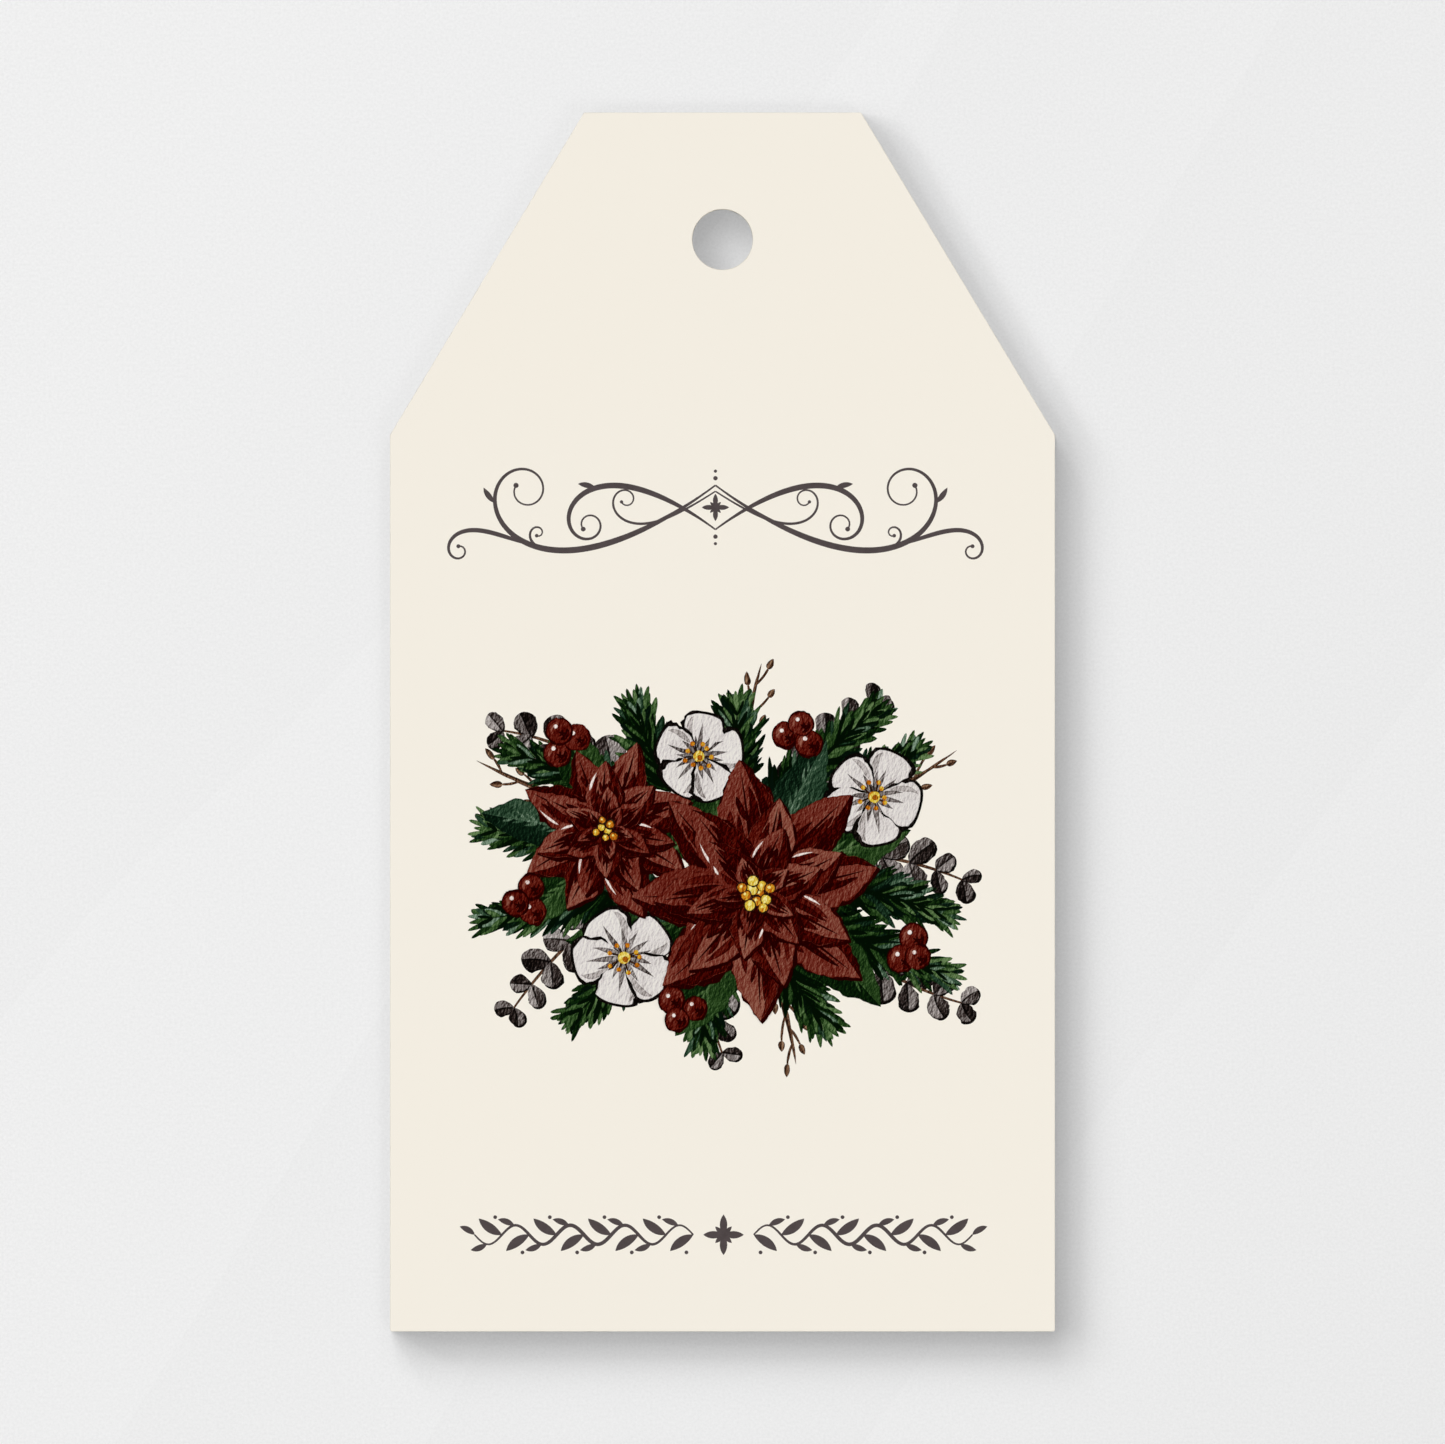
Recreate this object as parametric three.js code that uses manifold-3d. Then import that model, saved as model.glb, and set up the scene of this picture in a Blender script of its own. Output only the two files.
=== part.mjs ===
// A Christmas gift tag: two sheets of cream card glued back to back, then die-cut
// together to one outline with slanted shoulders and a round hole for a string.
//
// Millimetres, +Z up. The tag lies face up on its back. Its width runs along X and its
// height along Y, towards the hole, and the origin is the middle of its back face.

import * as THREE from "three";
import { mergeVertices } from "three/addons/utils/BufferGeometryUtils.js";
import Module from "manifold-3d";

// Outline
const TAG_WIDTH = 66;
const TAG_HEIGHT = 121;
const TOP_EDGE_WIDTH = 27.5;
const SHOULDER_DROP = 32; // from the top edge down to where the slanted cuts meet the sides
const CORNER_RADIUS = 0.2; // the bend of the cutting rule leaves this on each corner

// String hole
const HOLE_DIAMETER = 6;
const HOLE_FROM_TOP = 12.6; // from the top edge to the hole's centre

// Thickness of each layer
const FRONT_SHEET_THICKNESS = 0.43;
const BACK_SHEET_THICKNESS = 0.43;
const GLUE_FILM_THICKNESS = 0.04;

// Cut edges
const ROLLED_EDGE = 0.09; // the cutting rule presses the outer edges of both faces round by this
const GLUE_SET_BACK = 0.12; // the film stops this far inside the cut edge and the hole's wall

// Fineness of the round stretches
const HOLE_SIDES = 72;
const CORNER_STEPS = 4;
const ROLL_STEPS = 3;

const CARD_COLOUR = "#f3ede1";
const GLUE_COLOUR = "#ddd2b4";

const wasm = await Module();
wasm.setup();

// A closed geometry as a solid that can be cut.
function solidOf(geometry) {
  const bare = geometry.clone();
  bare.deleteAttribute("normal");
  bare.deleteAttribute("uv");
  const merged = mergeVertices(bare, 1e-4);
  return new wasm.Manifold(
    new wasm.Mesh({
      numProp: 3,
      vertProperties: merged.attributes.position.array,
      triVerts: new Uint32Array(merged.index.array),
    }),
  );
}

// A cut solid as a geometry again, with flat faces.
function geometryOf(solid) {
  const mesh = solid.getMesh();
  const indexed = new THREE.BufferGeometry();
  indexed.setAttribute("position", new THREE.BufferAttribute(mesh.vertProperties, 3));
  indexed.setIndex(new THREE.BufferAttribute(mesh.triVerts, 1));
  const geometry = indexed.toNonIndexed();
  geometry.computeVertexNormals();
  return geometry;
}

// The tag's six corners before rounding, anticlockwise from the bottom left.
function tagCorners() {
  const side = TAG_WIDTH / 2;
  const bottom = -TAG_HEIGHT / 2;
  const top = TAG_HEIGHT / 2;
  const shoulder = top - SHOULDER_DROP;
  const topSide = TOP_EDGE_WIDTH / 2;
  return [
    new THREE.Vector2(-side, bottom),
    new THREE.Vector2(side, bottom),
    new THREE.Vector2(side, shoulder),
    new THREE.Vector2(topSide, top),
    new THREE.Vector2(-topSide, top),
    new THREE.Vector2(-side, shoulder),
  ];
}

// Points along an arc, both ends included.
function arc(centre, radius, from, to, steps) {
  return Array.from({ length: steps + 1 }, (_, i) => {
    const angle = from + ((to - from) * i) / steps;
    return new THREE.Vector2(
      centre.x + radius * Math.cos(angle),
      centre.y + radius * Math.sin(angle),
    );
  });
}

// The way into the tag, square to the edge from one corner to the next.
function inward(from, to) {
  const along = to.clone().sub(from).normalize();
  return new THREE.Vector2(-along.y, along.x);
}

// The outline with every edge moved in by inset and every corner rounded.
function outlinePoints(inset) {
  const corners = tagCorners();
  return corners.flatMap((corner, i) => {
    const before = inward(corners.at(i - 1), corner);
    const after = inward(corner, corners[(i + 1) % corners.length]);
    const bisector = before.clone().add(after).divideScalar(1 + before.dot(after));
    const centre = corner.clone().addScaledVector(bisector, inset + CORNER_RADIUS);
    const from = Math.atan2(-before.y, -before.x);
    const turn = Math.acos(THREE.MathUtils.clamp(before.dot(after), -1, 1));
    return arc(centre, CORNER_RADIUS, from, from + turn, CORNER_STEPS);
  });
}

function holePoints(growth) {
  const centre = new THREE.Vector2(0, TAG_HEIGHT / 2 - HOLE_FROM_TOP);
  const points = arc(centre, HOLE_DIAMETER / 2 + growth, 0, -2 * Math.PI, HOLE_SIDES);
  return points.slice(0, HOLE_SIDES);
}

// The tag's flat shape with its hole, both drawn back by setBack.
function tagShape(setBack) {
  const shape = new THREE.Shape(outlinePoints(setBack));
  shape.holes.push(new THREE.Path(holePoints(setBack)));
  return shape;
}

// The whole tag as one block with both outer edges rolled, from its back up to its face.
function rolledBlock(thickness, roll) {
  const geometry = new THREE.ExtrudeGeometry(tagShape(0), {
    depth: thickness - 2 * roll,
    bevelThickness: roll,
    bevelSize: roll,
    bevelOffset: -roll,
    bevelSegments: ROLL_STEPS,
  });
  geometry.translate(0, 0, roll);
  return solidOf(geometry);
}

// A slab wider than the tag, between two heights, that a sheet is cut out with.
function slab(low, high) {
  const geometry = new THREE.BoxGeometry(2 * TAG_WIDTH, 2 * TAG_HEIGHT, high - low);
  geometry.translate(0, 0, (low + high) / 2);
  return solidOf(geometry);
}

function card() {
  return new THREE.MeshStandardMaterial({ color: CARD_COLOUR, roughness: 0.92, metalness: 0 });
}

function glue() {
  return new THREE.MeshStandardMaterial({ color: GLUE_COLOUR, roughness: 0.55, metalness: 0 });
}

function named(name, geometry, material) {
  const mesh = new THREE.Mesh(geometry, material);
  mesh.name = name;
  return mesh;
}

// Heights of the layers, from the back up
const glueLow = BACK_SHEET_THICKNESS;
const glueHigh = glueLow + GLUE_FILM_THICKNESS;
const face = glueHigh + FRONT_SHEET_THICKNESS;

// The roll stays within the thinner sheet.
const roll = Math.min(ROLLED_EDGE, 0.4 * Math.min(FRONT_SHEET_THICKNESS, BACK_SHEET_THICKNESS));

// Both sheets are cut by one stroke of the die, so they come out of one block.
const block = rolledBlock(face, roll);

function frontSheet() {
  return named("front_sheet", geometryOf(block.intersect(slab(glueHigh, 2 * face))), card());
}

function backSheet() {
  return named("back_sheet", geometryOf(block.intersect(slab(-face, glueLow))), card());
}

function glueFilm() {
  const geometry = new THREE.ExtrudeGeometry(tagShape(GLUE_SET_BACK), {
    depth: GLUE_FILM_THICKNESS,
    bevelEnabled: false,
  });
  const mesh = named("glue_film", geometry, glue());
  mesh.position.z = glueLow;
  return mesh;
}

const tag = new THREE.Group();
tag.add(frontSheet(), glueFilm(), backSheet());

export default tag;
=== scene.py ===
"""A flat Christmas gift tag of cream card, with its painted spray and pen ornaments in print,
lying on a pale studio floor. Run it as a script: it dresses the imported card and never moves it.
"""

import math
import random

import bmesh
import bpy
from bpy.props import FloatProperty, FloatVectorProperty, IntProperty, PointerProperty
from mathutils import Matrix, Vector, noise


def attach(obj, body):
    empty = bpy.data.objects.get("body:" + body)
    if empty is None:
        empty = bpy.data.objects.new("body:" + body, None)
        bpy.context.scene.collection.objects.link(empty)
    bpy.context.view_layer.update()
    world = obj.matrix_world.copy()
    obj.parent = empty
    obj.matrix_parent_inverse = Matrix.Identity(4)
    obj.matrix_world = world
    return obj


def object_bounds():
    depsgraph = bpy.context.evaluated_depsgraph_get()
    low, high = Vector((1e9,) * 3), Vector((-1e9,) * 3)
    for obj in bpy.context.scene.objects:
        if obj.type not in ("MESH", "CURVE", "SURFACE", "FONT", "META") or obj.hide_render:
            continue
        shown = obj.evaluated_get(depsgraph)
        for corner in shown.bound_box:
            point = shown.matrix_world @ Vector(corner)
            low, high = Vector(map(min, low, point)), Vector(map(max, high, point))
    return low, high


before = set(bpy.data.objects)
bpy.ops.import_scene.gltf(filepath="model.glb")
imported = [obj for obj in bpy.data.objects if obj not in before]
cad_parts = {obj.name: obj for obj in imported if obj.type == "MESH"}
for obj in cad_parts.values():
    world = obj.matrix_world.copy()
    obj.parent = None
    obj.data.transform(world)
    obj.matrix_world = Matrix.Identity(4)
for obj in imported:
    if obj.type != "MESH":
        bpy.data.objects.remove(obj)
CARD_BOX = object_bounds()

bl_info = {
    "name": "Christmas Gift Tag",
    "version": (1, 0, 0),
    "blender": (4, 5, 0),
    "location": "View3D > Sidebar > Gift Tag",
    "description": "Paints, prints and lights a die-cut gift tag",
    "category": "Object",
}

# The print is drawn in millimetres on a card this wide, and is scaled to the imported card.
DRAWN_WIDTH = 66.0
MM = (CARD_BOX[1].x - CARD_BOX[0].x) / DRAWN_WIDTH
FACE = CARD_BOX[1].z

# Paint lies in coats. A stroke settles on a coat that is free in all the squares that it crosses.
SQUARE = 0.35
taken_coats = {}

# The flat skins that strokes are bent from, by their fineness.
brush_marks = {}

SUNK = 1e-6  # how far the underside of a stroke lies in the card, in metres
LEAST_SIDE = 0.012  # half the breadth that a stroke keeps at its ends, in millimetres

# The painter's light comes from the upper left. Both are headings in degrees.
LIT_WAY = 130
SHADE_WAY = LIT_WAY - 180
GOLDEN_ANGLE = 137.5


def colour(text):
    """Linear colour from six hexadecimal digits."""
    parts = [int(text[i : i + 2], 16) / 255 for i in (0, 2, 4)]
    return tuple(p / 12.92 if p <= 0.04045 else ((p + 0.055) / 1.055) ** 2.4 for p in parts)


COLOUR_FIELD = {"subtype": "COLOR", "min": 0, "max": 1}


class TagPaper(bpy.types.PropertyGroup):
    """Colours and surface of the card."""

    face: FloatVectorProperty(
        name="Card colour",
        description="Colour of the uncoated card",
        **COLOUR_FIELD,
        default=colour("f3ede1"),
    )
    cut_edge: FloatVectorProperty(
        name="Cut edge colour",
        description="Colour of the fibres that the die has cut",
        **COLOUR_FIELD,
        default=colour("e6dac3"),
    )
    glue: FloatVectorProperty(
        name="Glue colour",
        description="Colour of the dried glue between the sheets",
        **COLOUR_FIELD,
        default=colour("b8a67c"),
    )
    tooth: FloatProperty(
        name="Tooth",
        description="Height of the paper's surface grain",
        default=0.8e-6,
        unit="LENGTH",
        precision=7,
    )


class TagPrint(bpy.types.PropertyGroup):
    """Places and sizes of the print."""

    coat: FloatProperty(
        name="Coat",
        description="Thickness of one coat of paint",
        default=4e-7,
        unit="LENGTH",
        precision=7,
    )
    ink: FloatVectorProperty(
        name="Ink",
        description="Colour of the pen ornaments",
        **COLOUR_FIELD,
        default=colour("494141"),
    )
    flourish_place: FloatVectorProperty(
        name="Flourish place",
        description="Middle of the flourish above the spray, in drawn millimetres",
        size=2,
        default=(-0.7, 21.3),
    )
    spray_place: FloatVectorProperty(
        name="Spray place",
        description="Middle of the painted spray, in drawn millimetres",
        size=2,
        default=(-0.15, -14.0),
    )
    vine_place: FloatVectorProperty(
        name="Vine place",
        description="Middle of the vine below the spray, in drawn millimetres",
        size=2,
        default=(0.1, -50.9),
    )
    seed: IntProperty(
        name="Hand",
        description="Seed of the painter's small irregularities",
        default=7,
    )


class TagStage(bpy.types.PropertyGroup):
    """Floor, light and camera."""

    floor: FloatVectorProperty(
        name="Floor colour",
        description="Colour of the pale floor and of the background behind it",
        **COLOUR_FIELD,
        default=colour("ededed"),
    )
    level: FloatProperty(
        name="Light level",
        description="At 1 a flat colour renders as it is written",
        default=1.0,
    )
    lens: FloatProperty(
        name="Lens",
        description="Focal length of the camera, in millimetres",
        default=300.0,
        unit="CAMERA",
    )
    view_width: FloatProperty(
        name="View width",
        description="Width of the card's plane that the camera sees",
        default=143.43 * MM,
        unit="LENGTH",
    )


def course(start, heading, length, turn=0.0, curl=0.0, steps=8, even=False):
    """The line of a stroke as (x, y, heading) at each step, in millimetres and radians.

    It turns evenly by turn degrees, and by curl degrees more, nearly all of them at its end.
    """
    x, y = start
    line = [(x, y, math.radians(heading))]
    shares = [i / steps if even else (1 - math.cos(math.pi * i / steps)) / 2 for i in range(steps + 1)]
    parts = 4
    for before, after in zip(shares, shares[1:]):
        for part in range(parts):
            s = before + (after - before) * (part + 0.5) / parts
            angle = math.radians(heading + turn * s + curl * s**4)
            stride = length * (after - before) / parts
            x += stride * math.cos(angle)
            y += stride * math.sin(angle)
        line.append((x, y, math.radians(heading + turn * after + curl * after**4)))
    return line


def swell(breadth, base, tip):
    """Half the breadth along a stroke, nothing at both ends; a small base or tip is blunt."""
    peak = base / (base + tip)
    top = peak**base * (1 - peak) ** tip
    return lambda s: breadth / 2 * s**base * (1 - s) ** tip / top


def pen(hair, shade, base=1.6, tip=1.6):
    """Half the breadth of a pen stroke: a hairline that swells to its shade."""
    swelling = swell(shade - hair, base, tip)
    return lambda s: hair / 2 + swelling(s)


def new_film():
    """An empty mesh for strokes, with the layers that the paint's finish reads."""
    bm = bmesh.new()
    bm.verts.layers.float.new("tone")
    bm.verts.layers.float_vector.new("stroke")
    return bm


def brush_mark(steps, across):
    """A closed flat skin with X and Y from -1 to 1 and Z from 0 to 1, made once for each fineness."""
    if (steps, across) not in brush_marks:
        bm = new_film()
        bmesh.ops.create_grid(bm, x_segments=steps, y_segments=across, size=1)
        raised = bmesh.ops.extrude_face_region(bm, geom=bm.faces[:])["geom"]
        top = [item for item in raised if isinstance(item, bmesh.types.BMVert)]
        bmesh.ops.translate(bm, verts=top, vec=(0, 0, 1))
        bmesh.ops.recalc_face_normals(bm, faces=bm.faces)
        mesh = bpy.data.meshes.new("brush_mark")
        bm.to_mesh(mesh)
        bm.free()
        brush_marks[steps, across] = mesh
    return brush_marks[steps, across]


def free_coat(squares, lowest=None):
    """Takes a coat in these squares: the next above all that is there, or the lowest free one."""
    taken = 0
    for square in squares:
        taken |= taken_coats.get(square, 0)
    coat = taken.bit_length() if lowest is None else lowest
    while taken >> coat & 1:
        coat += 1
    for square in squares:
        taken_coats[square] = taken_coats.get(square, 0) | 1 << coat
    return coat + 1


def crossed_squares(line, sides, span):
    """The squares of the card that a stroke covers."""
    squares = set()
    for (x, y, angle), side in zip(line, sides):
        touches = max(2, math.ceil((span[1] - span[0]) * side / SQUARE) + 1)
        for touch in range(touches):
            reach = side * (span[0] + (span[1] - span[0]) * touch / (touches - 1))
            column = (x - reach * math.sin(angle)) / SQUARE
            row = (y + reach * math.cos(angle)) / SQUARE
            squares.add((math.floor(column), math.floor(row)))
    return squares


def lay(bm, line, half, tone, across=2, span=(-1.0, 1.0), ragged=0.0, fade=0.0, lowest=None):
    """Lays one stroke: a thin closed skin along line, half(share) to each side of it.

    tone runs from 0, the darkest pigment, to 1. span keeps only part of the breadth, ragged is how
    far the edge strays, fade is how much the tone rises from end to end, and lowest lets the
    stroke slip below what is already there.
    """
    steps = len(line) - 1
    run = [0.0]
    for a, b in zip(line, line[1:]):
        run.append(run[-1] + math.dist(a[:2], b[:2]))
    length = run[-1]
    sides = [max(half(min(1.0, r / length)), LEAST_SIDE) for r in run]
    coat = free_coat(crossed_squares(line, sides, span), lowest)
    height = FACE + coat * bpy.context.scene.tag_print.coat
    # Each stroke reads another part of the noise that its edge and its bristle marks come from.
    shift = (line[0][0] * 7.3 + line[0][1] * 13.1) % 50
    tone_layer = bm.verts.layers.float["tone"]
    stroke_layer = bm.verts.layers.float_vector["stroke"]
    before = len(bm.verts)
    bm.from_mesh(brush_mark(steps, across))
    bm.verts.ensure_lookup_table()
    for vert in bm.verts[before:]:
        i = round((vert.co.x + 1) / 2 * steps)
        t = span[0] + (span[1] - span[0]) * (vert.co.y + 1) / 2
        x, y, angle = line[i]
        side = sides[i]
        reach = t * side
        if ragged:
            near = Vector((x * 0.9, y * 0.9, shift + t))
            stray = noise.noise(near) + 0.7 * noise.noise(near * 3.1)
            reach += ragged * t * min(1, side / (4 * ragged)) * stray
        edge = min(t - span[0], span[1] - t) * side
        vert[tone_layer] = tone + fade * (run[i] / length - 0.5)
        vert[stroke_layer] = (run[i] + shift, reach, min(edge, run[i], length - run[i]))
        level = height if vert.co.z > 0.5 else FACE - SUNK
        vert.co = ((x - reach * math.sin(angle)) * MM, (y + reach * math.cos(angle)) * MM, level)


def dot(bm, centre, radius, tone, across=4, ragged=0.0, steps=10):
    """A round touch of the brush."""
    line = course((centre[0] - radius, centre[1]), 0, 2 * radius, steps=steps)
    lay(bm, line, swell(2 * radius, 0.5, 0.5), tone, across, ragged=ragged)


def along(line, share):
    """Point and heading in degrees at a share of a line."""
    i = min(int(share * (len(line) - 1)), len(line) - 2)
    part = share * (len(line) - 1) - i
    a, b = line[i], line[i + 1]
    x, y, angle = (p + (q - p) * part for p, q in zip(a, b))
    return (x, y), math.degrees(angle)


def beside(guide, half, across, start, end, steps=10):
    """The line inside a leaf at a share of its half breadth, from one share of it to another."""
    places = []
    for i in range(steps + 1):
        share = start + (end - start) * (1 - math.cos(math.pi * i / steps)) / 2
        point, facing = along(guide, share)
        places.append(step_from(point, facing + 90, across * half(share)))
    headings = [math.atan2(b[1] - a[1], b[0] - a[0]) for a, b in zip(places, places[1:])]
    return [(x, y, heading) for (x, y), heading in zip(places, [headings[0], *headings])]


def step_from(point, heading, distance):
    """The point at a distance from another, in a direction in degrees."""
    angle = math.radians(heading)
    return point[0] + distance * math.cos(angle), point[1] + distance * math.sin(angle)


def piece(bm, name, material):
    """Makes a finished film one piece of the object, which rides with the card."""
    mesh = bpy.data.meshes.new(name)
    bm.to_mesh(mesh)
    bm.free()
    mesh.materials.append(material)
    made = bpy.data.objects.new(name, mesh)
    bpy.context.scene.collection.objects.link(made)
    made.visible_diffuse = False
    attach(made, "root")


def node(tree, kind, inputs=None, **settings):
    """Adds a shader node, sets it and links the inputs that are given as sockets."""
    made = tree.nodes.new("ShaderNode" + kind)
    for name, value in settings.items():
        setattr(made, name, value)
    for key, value in (inputs or {}).items():
        if isinstance(value, bpy.types.NodeSocket):
            tree.links.new(value, made.inputs[key])
        else:
            made.inputs[key].default_value = value
    return made


def new_material(name):
    """A material with only its shader, and its node tree."""
    material = bpy.data.materials.new(name)
    material.use_nodes = True
    return material, material.node_tree, material.node_tree.nodes["Principled BSDF"]


def millimetres(tree, scale=(1, 1, 1), turn=0.0, shift=(0, 0, 0)):
    """Object coordinates in drawn millimetres, turned about Z and then stretched by scale."""
    inputs = {
        "Vector": node(tree, "TexCoord").outputs["Object"],
        "Location": tuple(s * MM for s in shift),
        "Rotation": (0, 0, turn),
        "Scale": tuple(MM / s for s in scale),
    }
    return node(tree, "Mapping", inputs, vector_type="TEXTURE").outputs["Vector"]


def math_node(tree, operation, a, b=0.0, c=0.0):
    """One arithmetic node's output."""
    return node(tree, "Math", {0: a, 1: b, 2: c}, operation=operation).outputs[0]


def scaled(tree, value, factor, more=0.0):
    """A value times a factor, and something more."""
    return math_node(tree, "MULTIPLY_ADD", value, factor, more)


def spots(tree, vector, scale, detail=2.0, roughness=0.5, distortion=0.0):
    """Noise from about 0 to 1."""
    inputs = {
        "Vector": vector,
        "Scale": scale,
        "Detail": detail,
        "Roughness": roughness,
        "Distortion": distortion,
    }
    return node(tree, "TexNoise", inputs).outputs["Fac"]


def ramp(tree, factor, stops):
    """A colour ramp through (position, linear colour) stops."""
    made = node(tree, "ValToRGB", {"Fac": factor})
    elements = made.color_ramp.elements
    while len(elements) < len(stops):
        elements.new(0.5)
    for element, (position, tint) in zip(elements, stops):
        element.position = position
        element.color = (*tint, 1)
    return made.outputs["Color"]


def shades(tree, factor, tint, *stops):
    """A colour ramp through darker and paler shades of one colour: (position, strength) stops."""
    return ramp(tree, factor, [(at, [min(1, c * strength) for c in tint]) for at, strength in stops])


def blend(tree, share, first, second):
    """The first colour where the share is 0 and the second where it is 1."""
    return node(tree, "Mix", {0: share, 6: first, 7: second}, data_type="RGBA").outputs[2]


def remap(tree, value, low, high, to_low=0.0, to_high=1.0, smooth=False):
    """A value carried from one range to another, and level beyond both ends."""
    inputs = {"Value": value, "From Min": low, "From Max": high, "To Min": to_low, "To Max": to_high}
    kind = "SMOOTHSTEP" if smooth else "LINEAR"
    return node(tree, "MapRange", inputs, interpolation_type=kind).outputs["Result"]


def surface(tree, shader, tint, relief, depth, roughness, specular):
    """Gives a shader its colour, a fine relief of a depth in metres, and its dullness."""
    tree.links.new(tint, shader.inputs["Base Color"])
    bump = node(tree, "Bump", {"Height": relief, "Strength": 1.0, "Distance": depth})
    tree.links.new(bump.outputs["Normal"], shader.inputs["Normal"])
    shader.inputs["Roughness"].default_value = roughness
    shader.inputs["Specular IOR Level"].default_value = specular


def card_material(paper):
    """Smooth uncoated card: even on its faces, with layered fibres where the die has cut it."""
    material, tree, shader = new_material("uncoated_card")
    cloud = spots(tree, millimetres(tree), 0.45, detail=5, roughness=0.65)
    fibres = spots(tree, millimetres(tree, (3.2, 0.8, 1), 0.6), 1.0, detail=3, distortion=1.5)
    even = scaled(tree, fibres, 0.6, cloud)
    even = scaled(tree, even, 0.625)
    face = shades(tree, even, paper.face, (0.3, 1.0032), (0.7, 1.0062))

    layers = spots(tree, millimetres(tree, (0.7, 0.7, 26)), 1.0, detail=2, roughness=0.6)
    nicks = spots(tree, millimetres(tree, (5, 5, 1.2)), 1.0, detail=3)
    torn = scaled(tree, nicks, 0.5, layers)
    uneven = scaled(tree, torn, 0.667)
    edge = shades(tree, uneven, paper.cut_edge, (0.35, 0.9), (0.62, 1.06))

    normal = node(tree, "NewGeometry").outputs["True Normal"]
    upright = math_node(tree, "ABSOLUTE", node(tree, "SeparateXYZ", {0: normal}).outputs["Z"])
    on_face = remap(tree, upright, 0.1, 0.6, smooth=True)
    tint = blend(tree, on_face, edge, face)

    fine = spots(tree, millimetres(tree), 3.5, detail=4, roughness=0.6)
    rough = scaled(tree, torn, 6.0)
    cut = math_node(tree, "SUBTRACT", 1.0, on_face)
    relief = scaled(tree, rough, cut, fine)
    surface(tree, shader, tint, relief, paper.tooth, roughness=0.93, specular=0.25)
    return material


def glue_material(paper):
    """Dried glue, seen as a thin dull seam between the two sheets."""
    material, tree, shader = new_material("glue_seam")
    beads = spots(tree, millimetres(tree, (2.5, 2.5, 8)), 1.0, detail=3)
    tint = shades(tree, beads, paper.glue, (0.35, 0.7), (0.65, 1))
    tree.links.new(tint, shader.inputs["Base Color"])
    tree.links.new(scaled(tree, beads, 0.3, 0.35), shader.inputs["Roughness"])
    return material


def ink_material(ink):
    """Flat printing ink that has sunk a little unevenly into the card."""
    material, tree, shader = new_material("pen_ink")
    cloud = spots(tree, millimetres(tree), 1.4, detail=4, roughness=0.6)
    speck = spots(tree, millimetres(tree), 9.0, detail=2)
    taken = scaled(tree, speck, 0.5, cloud)
    taken = scaled(tree, taken, 0.667)
    tint = shades(tree, taken, ink, (0.35, 0.88), (0.68, 1.22))
    surface(tree, shader, tint, speck, 0.4e-6, roughness=0.72, specular=0.3)
    return material


# Watercolour pigments from dark to pale. Each has a second family of hues, which a stroke takes
# when OTHER_HUE is added to its tone.
OTHER_HUE = 2.0
GREENS = (
    ((0.14, "010901"), (0.35, "0a2008"), (0.56, "223c17"), (0.77, "405b32"), (1.0, "678053")),
    ((0.14, "020c05"), (0.35, "0f2515"), (0.56, "2a4430"), (0.77, "4c634d"), (1.0, "849a85")),
)
MAROONS = (
    ((0.13, "1e0000"), (0.34, "450502"), (0.55, "5d1a10"), (0.77, "75382c"), (1.0, "8f5c4b")),
    ((0.0, "5c1b11"), (0.4, "966358"), (0.7, "cfb4ac"), (1.0, "ece4dd")),
)
GREYS = (
    ((0.1, "050302"), (0.34, "362c29"), (0.6, "7b7370"), (0.8, "a7a09c"), (1.0, "cbc3c0")),
    ((0.0, "7b7370"), (0.4, "b9b1ae"), (0.7, "d9d3d0"), (1.0, "e8e4dc")),
)
GOLDS = (
    ((0.0, "1c0f08"), (0.3, "4a2f20"), (0.6, "7c5c45"), (1.0, "b49577")),
    ((0.0, "5f3208"), (0.35, "bd650f"), (0.7, "d6be3a"), (1.0, "ece29a")),
)


# The paint of each slot: its material's name, its pigments and the strength of its grain.
PAINTS = {
    "green_print": ("fir_wash", GREENS, 1.55),
    "maroon_print": ("flower_wash", MAROONS, 1.8),
    "grey_print": ("silver_wash", GREYS, 1.8),
    "gold_print": ("bark_wash", GOLDS, 1.8),
}


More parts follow.
